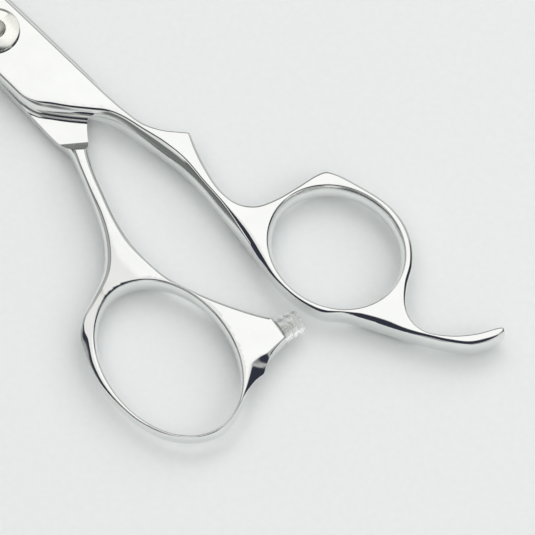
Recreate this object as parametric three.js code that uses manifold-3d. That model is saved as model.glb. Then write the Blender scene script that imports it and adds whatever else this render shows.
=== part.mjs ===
// Hair cutting shears: two forged halves with ring handles, joined by a keyed pivot screw with a
// click tension dial, and a clear bumper that cushions the rings as the shears close.
//
// Units are millimetres and +Z is up. The pivot axis is Z through the origin. The blade tips point
// to -X and the rings to +X, with the finger ring on the +Y side and the thumb ring on the -Y side.
// Z = 0 is the surface that the shears lie on, under the head of the pivot screw.
import * as THREE from 'three';
import { mergeVertices } from 'three/addons/utils/BufferGeometryUtils.js';
import Module from 'manifold-3d';

const wasm = await Module();
wasm.setup();

// ---------------------------------------------------------------- driving dimensions

const TIP_X = -72.4;               // blade tips, measured from the pivot
const RICASSO_X = -8;              // where the ground blade ends and the flat round the pivot begins
const FINGER_FLAT_BOTTOM = 3.25;   // inner faces of the two blades, 0.1 apart round the washer
const THUMB_FLAT_TOP = 3.15;
const FINGER_FLAT_TOP = 5.85;      // outer face of the finger half round the pivot
const THUMB_FLAT_BOTTOM = 0.6;     // outer face of the thumb half round the pivot
const TIP_TOP = 4.5;               // the blades taper to this height at their tips
const TIP_BOTTOM = 1.9;
const HANDLE_TOP = 5.2;            // both handles are centred on the plane between the blades
const HANDLE_BOTTOM = 1.2;
const RING_TOP = 4.45;             // the thumb ring is thinner than its handle on the far side
const RING_BOTTOM = 1.9;
const UNDER_EDGE = { w: 0.3, h: 0.7 };   // rounding along the underside of both handles
const TOP_EDGE = { w: 0.35, h: 0.4 };    // least rounding along the upper edges
const OUTLINE_STEP = 2.2;          // spacing of the facets along the handles
const BLADE_STEP = 6;              // spacing of the facets along the blades

// Ring holes: centre, half axes at the throat, turn about Z and the flare at each mouth.
const FINGER_HOLE = { x: 67.07, y: 14.35, a: 11.0, b: 9.65, turn: 2.8, flare: 0.55 };
const THUMB_HOLE = { x: 62.8, y: -18.1, a: 14.0, b: 9.85, turn: -8.1, flare: 0.3 };
const HOLE_SIDES = 44;
const HOLE_THROAT = [2.3, 4.1];    // the straight part of both holes, from and to

// Both handles grow past the plane between the blades where they leave the flats: the thumb handle
// rises through a cove across its shank, and the finger handle drops along a slope under its own.
const COVE = { x: 23.5, y: -3.35, turn: -37.7, run: 2.9 };
const SLOPE = { x: 22.3, y: 0, turn: 0, run: 4.2 };
const RISE_STEPS = 8;

// Slope along the spine of the thumb blade, which ends where the blade tapers to less than its start.
const SPINE_SLOPE = { start: 5.5, end: 9, drop: 1.35, from: -50, to: 22 };

// Part of the finger half's flat outer face that a magnetic holder grips, as two corners.
const HOLDER_PAD = [[4.5, -3.2], [14, 4.2]];

// Bumper on the lug of the thumb ring.
const LUG_A = [69.1, -1.6];
const LUG_B = [73.25, -2.3];
const BUMPER = { r: 2.1, length: 3.75, bore: 0.95, bore_depth: 2.5, z: 3.35, edge: 0.25 };
const STEM = { r: 0.8, hidden: 2.2, shown: 2.2, pitch: 0.45, thread: 0.14 };
const STEM_GAP = 0.15;             // between the stem and the wall of its hole
const STEM_END_GAP = 0.3;
const SEAT_GAP = 0.05;             // between faces that touch

// Pivot, from the underside up.
const SCREW_HEAD = { r: 4.3, foot: 3.5, top: 0.55, lip: 0.2 };
const SCREW_NECK = { r: 2.7, flats: 4.2, top: 2.8 };
const SCREW_SHANK_R = 2.0;
const SCREW_TIP = { r: 1.75, flats: 2.9, from: 5.55, flats_to: 6.07, top: 6.97, edge: 0.25 };
const WASHER = { outer: 4.0, inner: 2.15, from: 2.93, to: 3.47, seat: 0.27 };
const BUSH = { outer: 2.7, inner: 2.05, from: 3.52, to: 5.2 };
const SPRING_SEAT = { r: 3.6, floor: 5.2 };
const FRICTION_WASHER = { outer: 3.45, inner: 2.15, from: 5.23, to: 5.37 };
const DISC_SPRING = { outer: 3.3, inner: 2.15, base: 5.39, thick: 0.18, cone: 0.14 };
const INDEX_PLATE = { outer: 3.25, from: 5.74, to: 5.95, notches: 12, notch_r: 0.3 };
const CLICK_SPRING = { outer: 3.45, inner: 2.5, from: 5.99, to: 6.13 };
const TONGUE = { r: 0.2, foot: 0.12, drop: 0.06, inset: 0.08 };
const DIAL = { r: 4.2, foot: 4.0, base: 5.95, waist: 6.08, shoulder: 6.34, edge: 0.12 };
const DIAL_DOME = { top: 6.56, hub: 2.15, steps: 4 };
const DIAL_CUP = { r: 3.52, top: 6.17 };
const DIAL_POCKET = { inner: 2.35, outer: 3.85, floor: 6.25, start: 101, sweep: 50, count: 2 };
const FIT = 0.06;                  // clearance round keyed and seated pieces

// Shapes that cut reach well past the shears, and shapes that join run a little into each other.
const THROUGH = [-1, 9];
const TOOL_REACH = 130;
const TOOL_WIDTH = 160;
const OVERLAP = 0.1;

// ---------------------------------------------------------------- outlines
// Each row is [x, y, bevel width, bevel height]: a point on the widest part of the wall, and the
// bevel between the wall and the flat above it (below it, along the thumb blade). Rows within one
// run join smoothly, and runs meet at corners. Both outlines go clockwise seen from above.

const FINGER_RUNS = [
  [ // cutting edge, flat by the pivot and neck, up to the point of the finger rest
    [TIP_X, -0.1, 0.25, 1.0], [-70, 0.85, 0.9, 1.1], [-60, 2.1, 2.7, 1.35], [-45, 3.4, 4.2, 1.65],
    [-30, 4.4, 5.4, 1.95], [-16, 5.1, 6.2, 2.25], [-10.5, 5.35, 3.2, 1.6], [-7, 5.45, 0.5, 0.5],
    [-3, 5.6, 0.35, 0.4], [12, 5.75, 0.35, 0.4], [22, 5.9, 0.35, 0.4], [26, 6.2, 0.35, 0.4],
    [29.4, 6.8, 0.35, 0.4], [32.3, 8.15, 0.35, 0.4], [34.4, 9.95, 0.35, 0.4], [35.75, 11.15, 0.35, 0.4],
  ],
  [ // finger rest, outside of the ring and upper side of the tang
    [35.75, 11.15, 0.35, 0.4], [38.8, 9.95, 0.35, 0.4], [42.4, 8.75, 0.35, 0.4],
    [46.9, 7.85, 0.35, 0.4], [50.5, 8.3, 0.35, 0.4], [52.8, 10.05, 0.35, 0.4],
    [54.1, 13.25, 0.35, 0.4], [54.8, 17.1, 0.35, 0.4], [55.35, 20.9, 0.35, 0.4],
    [56.0, 22.55, 0.35, 0.4], [57.55, 23.55, 0.35, 0.4], [61.8, 24.85, 0.35, 0.4],
    [65.7, 25.7, 0.35, 0.4], [68.2, 25.85, 0.35, 0.4], [71.5, 25.3, 0.35, 0.4],
    [74.75, 23.8, 0.35, 0.4], [77.5, 21.35, 0.35, 0.4], [79.6, 18.15, 0.35, 0.4],
    [82.05, 15.45, 0.35, 0.4], [84.4, 14.35, 0.35, 0.4], [87.1, 14.55, 0.35, 0.4],
    [90.25, 16.75, 0.35, 0.4], [92.85, 19.9, 0.35, 0.4], [94.65, 23.4, 0.35, 0.4],
  ],
  [ // end of the tang
    [94.65, 23.4, 0.35, 0.4], [95.3, 24.1, 0.35, 0.5], [96.0, 23.6, 0.35, 0.6],
  ],
  [ // lower side of the tang, ring and handle, then the notch by the flat and the spine
    [96.0, 23.6, 0.35, 0.6], [96.05, 22.2, 0.5, 0.9], [95.4, 20.2, 0.6, 1.0],
    [94.0, 17.9, 0.6, 1.0], [91.5, 15.75, 0.5, 0.9], [88.7, 13.9, 0.6, 0.9],
    [85.6, 12.1, 0.9, 1.0], [82.4, 10.45, 1.1, 1.0], [79.6, 9.0, 1.0, 1.0],
    [76.6, 7.2, 0.45, 0.8], [74.0, 4.95, 0.35, 0.8], [71.4, 3.92, 0.35, 0.8],
    [68.4, 3.36, 0.35, 0.8], [64.5, 3.35, 0.5, 0.9], [60.2, 4.0, 0.8, 1.0],
    [54.7, 4.8, 1.1, 1.1], [49.2, 5.4, 1.1, 1.1], [43.8, 5.9, 1.0, 1.1],
    [38.9, 6.0, 1.35, 1.2], [34.6, 5.5, 1.45, 1.2], [30.5, 4.8, 1.2, 1.2],
    [26.4, 4.0, 1.0, 1.3], [24.2, 3.0, 1.0, 1.4], [22.2, 1.3, 1.0, 1.45],
    [19.65, -0.9, 1.0, 1.45], [17.0, -2.95, 1.05, 1.45], [15.0, -4.25, 1.0, 1.45],
    [12.8, -4.85, 0.75, 1.2], [9, -4.9, 0.5, 0.8], [0, -4.85, 0.5, 0.7],
    [-16, -4.65, 0.5, 0.7], [-30, -4.15, 0.5, 0.7], [-45, -3.3, 0.45, 0.6],
    [-60, -2.2, 0.4, 0.5], [-70, -0.95, 0.25, 0.4], [TIP_X, -0.1, 0.25, 1.0],
  ],
];

const THUMB_RUNS = [
  [ // spine, up to the end of the flat round the pivot
    [TIP_X, 1.67, 0.25, 0.9], [-70, 2.85, 0.25, 0.4], [-60, 4.05, 0.4, 0.5],
    [-45, 5.1, 0.45, 0.6], [-30, 5.8, 0.5, 0.7], [-16, 6.35, 0.5, 0.7],
    [-4, 6.75, 0.5, 0.7], [8, 6.85, 0.5, 0.7], [17.0, 6.75, 0.5, 0.7], [20.5, 6.3, 0.4, 0.5],
  ],
  [ // end of the flat, hidden under the finger half, and the inner side of the shank
    [20.5, 6.3, 0.4, 0.5], [20.9, 4.4, 0.4, 0.5], [21.0, 2.2, 0.4, 0.5], [22.1, 0.65, 0.4, 0.5],
    [24.5, -1.35, 0.7, 0.8], [27.2, -3.25, 0.75, 0.8], [30.6, -5.0, 0.65, 0.7],
    [34.4, -6.45, 0.6, 0.6], [39.2, -8.1, 0.6, 0.6], [43.7, -9.1, 0.6, 0.5],
    [48.8, -9.35, 0.4, 0.4], [52.9, -8.85, 0.35, 0.4], [58.2, -7.1, 0.35, 0.4],
    [62.2, -5.4, 0.35, 0.4], [66.7, -3.1, 0.35, 0.4], [...LUG_A, 0.35, 0.4],
  ],
  [ // lug face that carries the bumper
    [...LUG_A, 0.3, 0.35], [...LUG_B, 0.3, 0.35],
  ],
  [ // far side of the ring, with the broad facet below the lug
    [...LUG_B, 0.3, 0.35], [73.35, -3.9, 0.9, 0.7], [73.6, -6.2, 1.9, 1.1],
    [74.05, -8.6, 2.2, 1.3], [74.75, -10.8, 1.3, 1.1], [75.6, -12.8, 0.6, 0.8],
    [76.6, -15.1, 0.35, 0.6], [77.45, -17.7, 0.35, 0.6], [77.65, -20.3, 0.35, 0.6],
    [76.5, -23.2, 0.35, 0.6], [74.3, -25.7, 0.35, 0.6], [71.5, -27.6, 0.35, 0.6],
    [67.9, -28.8, 0.35, 0.6], [63.5, -29.25, 0.35, 0.6], [59.5, -29.0, 0.35, 0.6],
    [55.4, -27.95, 0.35, 0.6], [52.1, -26.4, 0.5, 0.7], [50.2, -25.3, 0.8, 0.9],
    [48.9, -24.4, 1.1, 1.1],
  ],
  [ // near side of the ring and shank, the flat and the cutting edge
    [48.9, -24.4, 1.1, 1.1], [48.0, -23.2, 1.2, 1.2], [46.8, -20.2, 1.4, 1.2],
    [44.6, -15.6, 1.3, 1.1], [41.4, -12.5, 0.9, 1.0], [37.0, -9.95, 0.65, 0.9],
    [32.3, -8.0, 0.5, 0.8], [28.1, -6.4, 0.5, 0.8], [24.9, -5.35, 0.7, 0.8],
    [23.0, -5.2, 0.5, 0.5], [20.5, -5.3, 0.4, 0.4], [14, -5.1, 0.4, 0.4], [6.4, -4.85, 0.4, 0.4],
    [-4, -4.7, 0.4, 0.45], [-7, -4.6, 0.4, 0.45], [-10.5, -4.4, 3.2, 1.6],
    [-16, -4.0, 6.2, 2.25], [-30, -2.9, 5.2, 1.95], [-45, -1.7, 4.0, 1.65],
    [-60, -0.25, 2.5, 1.35], [-70, 1.05, 0.9, 1.1], [TIP_X, 1.67, 0.25, 0.9],
  ],
];

// ---------------------------------------------------------------- curve and mesh helpers

const mix = (a, b, t) => a + (b - a) * t;

function ramp(value, from, to) {
  const t = Math.min(1, Math.max(0, (value - from) / (to - from)));
  return t * t * (3 - 2 * t);
}

// One point of the centripetal Catmull-Rom curve from row b to row c, for t between 0 and 1.
function curvePoint(a, b, c, d, t) {
  const knot = (p, q) => Math.max(Math.sqrt(Math.hypot(q[0] - p[0], q[1] - p[1])), 1e-6);
  const t1 = knot(a, b);
  const t2 = t1 + knot(b, c);
  const t3 = t2 + knot(c, d);
  const at = mix(t1, t2, t);
  const blend = (p, q, tp, tq) => p.map((value, i) => mix(value, q[i], (at - tp) / (tq - tp)));
  const ab = blend(a, b, 0, t1);
  const bc = blend(b, c, t1, t2);
  const cd = blend(c, d, t2, t3);
  return blend(blend(ab, bc, 0, t2), blend(bc, cd, t1, t3), t1, t2);
}

const beyond = (p, q) => p.map((value, i) => 2 * value - q[i]);

// The closed row of stations along an outline, each [x, y, bevel width, bevel height].
function stationsAlong(runs) {
  const stations = [];
  for (const run of runs) {
    const rows = [beyond(run[0], run[1]), ...run, beyond(run.at(-1), run.at(-2))];
    for (let i = 1; i < rows.length - 2; i += 1) {
      const chord = Math.hypot(rows[i + 1][0] - rows[i][0], rows[i + 1][1] - rows[i][1]);
      const step = rows[i][0] < RICASSO_X && rows[i + 1][0] < RICASSO_X ? BLADE_STEP : OUTLINE_STEP;
      const straight = run.length === 2;
      const count = straight ? 1 : Math.max(1, Math.round(chord / step));
      for (let k = 0; k < count; k += 1) {
        stations.push(curvePoint(rows[i - 1], rows[i], rows[i + 1], rows[i + 2], k / count));
      }
    }
  }
  return stations;
}

// Inward mitre at each station of a clockwise outline.
function mitres(stations) {
  const count = stations.length;
  const side = (p, q) => {
    const length = Math.hypot(q[0] - p[0], q[1] - p[1]);
    return [(q[1] - p[1]) / length, -(q[0] - p[0]) / length];
  };
  return stations.map((station, i) => {
    const before = side(stations[(i + count - 1) % count], station);
    const after = side(station, stations[(i + 1) % count]);
    const spread = Math.max(0.5, 1 + before[0] * after[0] + before[1] * after[1]);
    return [(before[0] + after[0]) / spread, (before[1] + after[1]) / spread];
  });
}

// A closed solid through matched clockwise loops of [x, y, z], from the lowest to the highest. Pads
// are four-cornered parts of the top, counter-clockwise, that each stay one flat face.
function loft(loops, pads = []) {
  const count = loops[0].length;
  const positions = [...loops, ...pads].flat(2);
  const triangles = [];
  for (let level = 0; level < loops.length - 1; level += 1) {
    for (let i = 0; i < count; i += 1) {
      const j = (i + 1) % count;
      const low = level * count;
      const high = low + count;
      triangles.push(low + i, high + i, high + j, low + i, high + j, low + j);
    }
  }
  const flat = (loop) => loop.map(([x, y]) => new THREE.Vector2(x, y));
  for (const [a, b, c] of THREE.ShapeUtils.triangulateShape(flat(loops[0]), [])) {
    triangles.push(a, c, b);
  }
  const top = (loops.length - 1) * count;
  for (const [a, b, c] of THREE.ShapeUtils.triangulateShape(flat(loops.at(-1)), pads.map(flat))) {
    triangles.push(top + a, top + b, top + c);
  }
  pads.forEach((pad, i) => {
    const first = top + count + 4 * i;
    triangles.push(first, first + 1, first + 2, first, first + 2, first + 3);
  });
  const geometry = new THREE.BufferGeometry();
  geometry.setAttribute('position', new THREE.Float32BufferAttribute(positions, 3));
  geometry.setIndex(triangles);
  return geometry;
}

function solid(geometry) {
  const bare = geometry.clone();
  bare.deleteAttribute('normal');
  bare.deleteAttribute('uv');
  const merged = mergeVertices(bare, 1e-5);
  return new wasm.Manifold(new wasm.Mesh({
    numProp: 3,
    vertProperties: new Float32Array(merged.attributes.position.array),
    triVerts: new Uint32Array(merged.index.array),
  }));
}

function geometryOf(body) {
  const mesh = body.getMesh();
  const geometry = new THREE.BufferGeometry();
  geometry.setAttribute('position', new THREE.Float32BufferAttribute(Array.from(mesh.vertProperties), 3));
  geometry.setIndex(Array.from(mesh.triVerts));
  return geometry;
}

// A disc, ring or stepped shaft about Z from [radius, z] corners. The profile runs up the outside,
// starts and ends on the axis, or closes on itself.
function turned(profile, sides = 32) {
  const points = profile.map(([radius, z]) => new THREE.Vector2(radius, z));
  const geometry = new THREE.LatheGeometry(points, sides);
  geometry.rotateX(Math.PI / 2);
  return geometry;
}

function plainRing({ outer, inner, from, to }) {
  return turned([[inner, from], [outer, from], [outer, to], [inner, to], [inner, from]]);
}

function rod(radius, from, to, sides = 32) {
  return turned([[0, from], [radius, from], [radius, to], [0, to]], sides);
}

// A rod with two flats, across Y.
function keyed(radius, flats, from, to) {
  const key = new THREE.BoxGeometry(3 * radius, flats, to - from + 2);
  key.translate(0, 0, (from + to) / 2);
  return solid(rod(radius, from, to)).intersect(solid(key));
}

// ---------------------------------------------------------------- the two halves

const fingerTop = (x) => (x < RICASSO_X
  ? mix(FINGER_FLAT_TOP, TIP_TOP, (RICASSO_X - x) / (RICASSO_X - TIP_X))
  : mix(FINGER_FLAT_TOP, HANDLE_TOP, ramp(x, 16, 42)));

const thumbTop = (x, y) => mix(HANDLE_TOP, RING_TOP, ramp(-y, 12, 26));

function thumbBottom(x, y) {
  if (x < RICASSO_X) {
    return mix(THUMB_FLAT_BOTTOM, TIP_BOTTOM, (RICASSO_X - x) / (RICASSO_X - TIP_X));
  }
  const handle = mix(THUMB_FLAT_BOTTOM, HANDLE_BOTTOM, ramp(x, 18, 34));
  return mix(handle, RING_BOTTOM, ramp(x, 48, 64));
}

// Stacks the six loops of a half. top(x, y) and bottom(x, y) give its two outer faces, and
// upper(row) and under(row) give the width and height of the bevel at each. Pads lie in the top.
function forging(runs, top, bottom, upper, under, pads = []) {
  const stations = stationsAlong(runs);
  const inward = mitres(stations);
  const bevelBow = { w: 0.42, h: 0.68 };
  const level = (inset, height) => stations.map((row, i) => {
    const [x, y] = row;
    return [x + inward[i][0] * inset(row), y + inward[i][1] * inset(row), height(row, x, y)];
  });
  return solid(loft([
    level((row) => under(row).w, (row, x, y) => bottom(x, y)),
    level((row) => under(row).w * bevelBow.w, (row, x, y) => bottom(x, y) + under(row).h * (1 - bevelBow.h)),
    level(() => 0, (row, x, y) => bottom(x, y) + under(row).h),
    level(() => 0, (row, x, y) => top(x, y) - upper(row).h),
    level((row) => upper(row).w * bevelBow.w, (row, x, y) => top(x, y) - upper(row).h * (1 - bevelBow.h)),
    level((row) => upper(row).w, (row, x, y) => top(x, y)),
  ], pads));
}

const rowBevel = (row) => ({ w: Math.max(row[2], 0.2), h: Math.max(row[3], 0.3) });

// Tool that opens a ring hole, flared at both mouths.
function holeTool(hole) {
  const [low, high] = HOLE_THROAT;
  const [under, over] = THROUGH;
  const levels = [[under, 1], [HANDLE_BOTTOM, 1], [low, 0], [high, 0], [HANDLE_TOP, 1], [over, 1]];
  const turn = THREE.MathUtils.degToRad(hole.turn);
  const loops = levels.map(([z, flared]) => {
    const loop = [];
    for (let i = 0; i < HOLE_SIDES; i += 1) {
      const angle = -2 * Math.PI * i / HOLE_SIDES;
      const along = (hole.a + flared * hole.flare) * Math.cos(angle);
      const across = (hole.b + flared * hole.flare) * Math.sin(angle);
      const x = hole.x + along * Math.cos(turn) - across * Math.sin(turn);
      const y = hole.y + along * Math.sin(turn) + across * Math.cos(turn);
      loop.push([x, y, z]);
    }
    return loop;
  });
  return solid(loft(loops));
}

// Tool with a side profile of [along, z] corners, extruded across the shank at (x, y).
function crossTool(profile, x, y, turn, width = TOOL_WIDTH) {
  const shape = new THREE.Shape(profile.map(([along, z]) => new THREE.Vector2(along, z)));
  const geometry = new THREE.ExtrudeGeometry(shape, { depth: width, bevelEnabled: false, steps: 1 });
  geometry.translate(0, 0, -width / 2);
  geometry.rotateX(Math.PI / 2);
  geometry.rotateZ(THREE.MathUtils.degToRad(turn));
  geometry.translate(x, y, 0);
  return solid(geometry);
}

// Everything on one side of a blade's inner face, up to a smooth S of the given rise that crosses
// the shank. A negative rise cuts away what is below the face.
function besideBlade({ x, y, turn, run }, face, rise) {
  const far = face + 4 * rise;
  const profile = [[-TOOL_REACH, face]];
  for (let i = 0; i <= RISE_STEPS; i += 1) {
    const along = run * i / RISE_STEPS;
    profile.push([along, face + rise * ramp(along, 0, run)]);
  }
  profile.push([run, far], [-TOOL_REACH, far]);
  return crossTool(profile, x, y, turn);
}

function besideSpine() {
  const { start, end, drop, from, to } = SPINE_SLOPE;
  const top = THROUGH[1];
  const profile = [[start, THUMB_FLAT_TOP], [end, THUMB_FLAT_TOP - drop], [end, top], [start, top]];
  return crossTool(profile, (from + to) / 2, 0, 90, to - from);
}

function fingerHalf() {
  const [[left, near], [right, far]] = HOLDER_PAD;
  const pad = [[left, near], [right, near], [right, far], [left, far]].map((p) => [...p, FINGER_FLAT_TOP]);
  const blank = forging(FINGER_RUNS, fingerTop, () => HANDLE_BOTTOM, rowBevel, () => UNDER_EDGE, [pad]);
  return blank
    .subtract(besideBlade(SLOPE, FINGER_FLAT_BOTTOM, HANDLE_BOTTOM - FINGER_FLAT_BOTTOM - OVERLAP))
    .subtract(holeTool(FINGER_HOLE))
    .subtract(solid(rod(BUSH.outer + FIT, ...THROUGH)))
    .subtract(solid(rod(SPRING_SEAT.r, SPRING_SEAT.floor, THROUGH[1], 40)))
    .subtract(solid(rod(WASHER.outer + FIT, THROUGH[0], FINGER_FLAT_BOTTOM + WASHER.seat)));
}

function thumbHalf() {
  const handle = (row) => ramp(row[0], 19, 23);
  const upper = (row) => {
    const bevel = rowBevel(row);
    return { w: mix(TOP_EDGE.w, bevel.w, handle(row)), h: mix(TOP_EDGE.h, bevel.h, handle(row)) };
  };
  const under = (row) => {
    const bevel = rowBevel(row);
    return { w: mix(bevel.w, UNDER_EDGE.w, handle(row)), h: mix(bevel.h, UNDER_EDGE.h, handle(row)) };
  };
  const blank = forging(THUMB_RUNS, thumbTop, thumbBottom, upper, under);
  const { r, hidden } = STEM;
  const depth = hidden + STEM_END_GAP;
  const stemHole = placeOnLug(new THREE.CylinderGeometry(r + STEM_GAP, r + STEM_GAP, 2 * depth, 20), 0);
  return blank
    .subtract(besideBlade(COVE, THUMB_FLAT_TOP, HANDLE_TOP - THUMB_FLAT_TOP + OVERLAP))
    .subtract(besideSpine())
    .subtract(holeTool(THUMB_HOLE))
    .subtract(keyed(SCREW_NECK.r + FIT, SCREW_NECK.flats + 2 * FIT, ...THROUGH))
    .subtract(solid(rod(WASHER.outer + FIT, THUMB_FLAT_TOP - WASHER.seat, THROUGH[1])))
    .subtract(solid(stemHole));
}

// ---------------------------------------------------------------- bumper

// Moves a shape made along +Y at the origin so that it stands on the middle of the lug face.
function placeOnLug(geometry, along) {
  const normal = new THREE.Vector2(LUG_A[1] - LUG_B[1], LUG_B[0] - LUG_A[0]).normalize();
  geometry.translate(0, along, 0);
  geometry.rotateZ(normal.angle() - Math.PI / 2);
  geometry.translate((LUG_A[0] + LUG_B[0]) / 2, (LUG_A[1] + LUG_B[1]) / 2, BUMPER.z);
  return geometry;
}

function bumper() {
  const { r, length, bore, bore_depth: depth, edge } = BUMPER;
  const profile = [
    [0, depth], [bore, depth], [bore, 0], [r, 0], [r, length - edge],
    [r - edge, length], [0, length],
  ];
  const geometry = new THREE.LatheGeometry(profile.map(([x, y]) => new THREE.Vector2(x, y)), 28);
  return geometryOf(solid(placeOnLug(geometry, SEAT_GAP)));
}

function bumperStem() {
  const { r, hidden, shown, pitch, thread } = STEM;
  const profile = [[0, -hidden]];
  const turns = Math.floor((hidden + shown) / pitch);
  for (let i = 0; i < turns; i += 1) {
    profile.push([r - thread, -hidden + i * pitch], [r, -hidden + (i + 0.5) * pitch]);
  }
  profile.push([r - thread, -hidden + turns * pitch], [0, -hidden + turns * pitch]);
  const geometry = new THREE.LatheGeometry(profile.map(([x, y]) => new THREE.Vector2(x, y)), 16);
  return geometryOf(solid(placeOnLug(geometry, 0)));
}

// ---------------------------------------------------------------- pivot pieces

function pivotScrew() {
  const { r, foot, top, lip } = SCREW_HEAD;
  const { r: tipRadius, flats, from, flats_to: flatsTop, top: tipTop, edge } = SCREW_TIP;
  const head = solid(turned([[0, 0], [foot, 0], [r, top - lip], [r, top], [0, top]], 40));
  const neck = keyed(SCREW_NECK.r, SCREW_NECK.flats, top - OVERLAP, SCREW_NECK.top);
  const shank = solid(rod(SCREW_SHANK_R, top - OVERLAP, from));
  const key = keyed(tipRadius, flats, from - OVERLAP, flatsTop);
  const tip = solid(turned([
    [0, flatsTop - OVERLAP / 2], [tipRadius, flatsTop - OVERLAP / 2], [tipRadius, tipTop - edge],
    [tipRadius - edge, tipTop], [0, tipTop],
  ]));
  return geometryOf(head.add(neck).add(shank).add(key).add(tip));
}

function discSpring() {
  const { outer, inner, base, thick, cone } = DISC_SPRING;
  return turned([
    [inner, base + cone], [outer, base], [outer, base + thick], [inner, base + cone + thick],
    [inner, base + cone],
  ]);
}

function indexPlate() {
  const { outer, from, to, notches, notch_r: notchRadius } = INDEX_PLATE;
  let plate = solid(rod(outer, from, to, 48))
    .subtract(keyed(SCREW_TIP.r + FIT, SCREW_TIP.flats + 2 * FIT, ...THROUGH));
  for (let i = 0; i < notches; i += 1) {
    const angle = 2 * Math.PI * i / notches;
    const notch = new THREE.CylinderGeometry(notchRadius, notchRadius, 2, 10);
    notch.rotateX(Math.PI / 2);
    notch.translate(outer * Math.cos(angle), outer * Math.sin(angle), to);
    plate = plate.subtract(solid(notch));
  }
  return geometryOf(plate);
}

// Thin spring ring with two small tongues that reach the notches of the index plate.
function clickSpring() {
  const { r, foot, drop, inset } = TONGUE;
  const root = CLICK_SPRING.from + OVERLAP / 2;
  const height = root - CLICK_SPRING.from + drop;
  let spring = solid(plainRing(CLICK_SPRING));
  for (const side of [-1, 1]) {
    const tongue = new THREE.CylinderGeometry(r, foot, height, 10);
    tongue.rotateX(Math.PI / 2);
    tongue.translate(side * (INDEX_PLATE.outer - inset), 0, root - height / 2);
    spring = spring.add(solid(tongue));
  }
  return geometryOf(spring);
}

// Shallow pocket in the face of the dial, for a fingertip or key.
function dialPocket(start) {
  const { inner, outer, floor, sweep } = DIAL_POCKET;
  const from = THREE.MathUtils.degToRad(start);
  const to = THREE.MathUtils.degToRad(start + sweep);
  const shape = new THREE.Shape();
  shape.absarc(0, 0, outer, from, to, false);
  shape.absarc(0, 0, inner, to, from, true);
  const geometry = new THREE.ExtrudeGeometry(shape, { depth: 2, bevelEnabled: false, curveSegments: 8 });
  geometry.translate(0, 0, floor);
  return solid(geometry);
}

// A cup over the springs, with a domed face that is flat round the screw.
function tensionDial() {
  const { r, foot, base, waist, shoulder, edge } = DIAL;
  const { top, hub, steps } = DIAL_DOME;
  const bore = SCREW_TIP.r + FIT;
  const profile = [
    [bore, DIAL_CUP.top], [DIAL_CUP.r, DIAL_CUP.top], [DIAL_CUP.r, base], [foot, base], [r, waist],
    [r, shoulder - edge],
  ];
  for (let i = 0; i <= steps; i += 1) {
    const radius = mix(r - edge, hub, i / steps);
    const fall = (radius ** 2 - hub ** 2) / ((r - edge) ** 2 - hub ** 2);
    profile.push([radius, mix(top, shoulder, fall)]);
  }
  profile.push([bore, top], [bore, DIAL_CUP.top]);
  let dial = solid(turned(profile, 48));
  for (let i = 0; i < DIAL_POCKET.count; i += 1) {
    dial = dial.subtract(dialPocket(DIAL_POCKET.start + 360 * i / DIAL_POCKET.count));
  }
  return geometryOf(dial);
}

// ---------------------------------------------------------------- assembly

const polished = () => new THREE.MeshStandardMaterial({ color: 0xd9dcdc, roughness: 0.08, metalness: 1 });
const spring = () => new THREE.MeshStandardMaterial({ color: 0xb9bcbe, roughness: 0.3, metalness: 1 });
const nylon = () => new THREE.MeshStandardMaterial({ color: 0xeeeae0, roughness: 0.5, metalness: 0 });
const clear = () => new THREE.MeshStandardMaterial({
  color: 0xe6e8e0, roughness: 0.15, metalness: 0, transparent: true, opacity: 0.45,
});

function piece(name, geometry, material) {
  const mesh = new THREE.Mesh(geometry, material);
  mesh.name = name;
  return mesh;
}

const fingerGroup = new THREE.Group();
fingerGroup.add(
  piece('finger_shear', geometryOf(fingerHalf()), polished()),
  piece('pivot_bush', plainRing(BUSH), nylon()),
  piece('friction_washer', plainRing(FRICTION_WASHER), nylon()),
);

const thumbGroup = new THREE.Group();
thumbGroup.add(
  piece('thumb_shear', geometryOf(thumbHalf()), polished()),
  piece('pivot_screw', pivotScrew(), polished()),
  piece('glide_washer', plainRing(WASHER), nylon()),
  piece('disc_spring', discSpring(), spring()),
  piece('index_plate', indexPlate(), spring()),
  piece('bumper', bumper(), clear()),
  piece('bumper_stem', bumperStem(), nylon()),
);

const dialGroup = new THREE.Group();
dialGroup.add(
  piece('tension_dial', tensionDial(), polished()),
  piece('click_spring', clickSpring(), spring()),
);

const shears = new THREE.Group();
shears.add(fingerGroup, thumbGroup, dialGroup);

export default shears;
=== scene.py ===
"""Looks of a pair of hair cutting shears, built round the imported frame.

Shapes are worked out in millimetres in the frame of the part, and become metres when a mesh is made.
"""

import math

import bpy
import numpy as np
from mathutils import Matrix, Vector, geometry, kdtree


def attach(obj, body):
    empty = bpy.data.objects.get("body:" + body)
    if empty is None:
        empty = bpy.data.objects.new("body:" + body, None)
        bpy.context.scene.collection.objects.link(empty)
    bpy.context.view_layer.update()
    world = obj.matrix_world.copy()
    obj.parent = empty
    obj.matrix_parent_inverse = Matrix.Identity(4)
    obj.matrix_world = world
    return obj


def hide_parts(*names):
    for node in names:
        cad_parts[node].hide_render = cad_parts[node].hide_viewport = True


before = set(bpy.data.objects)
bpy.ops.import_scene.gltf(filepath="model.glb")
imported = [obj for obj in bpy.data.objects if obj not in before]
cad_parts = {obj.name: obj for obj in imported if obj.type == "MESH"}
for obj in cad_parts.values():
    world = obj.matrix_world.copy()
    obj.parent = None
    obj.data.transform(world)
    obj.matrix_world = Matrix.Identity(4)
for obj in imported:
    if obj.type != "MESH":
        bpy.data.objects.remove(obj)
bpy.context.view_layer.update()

MM = 0.001

# ---------------------------------------------------------------- driving dimensions of the forgings

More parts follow.
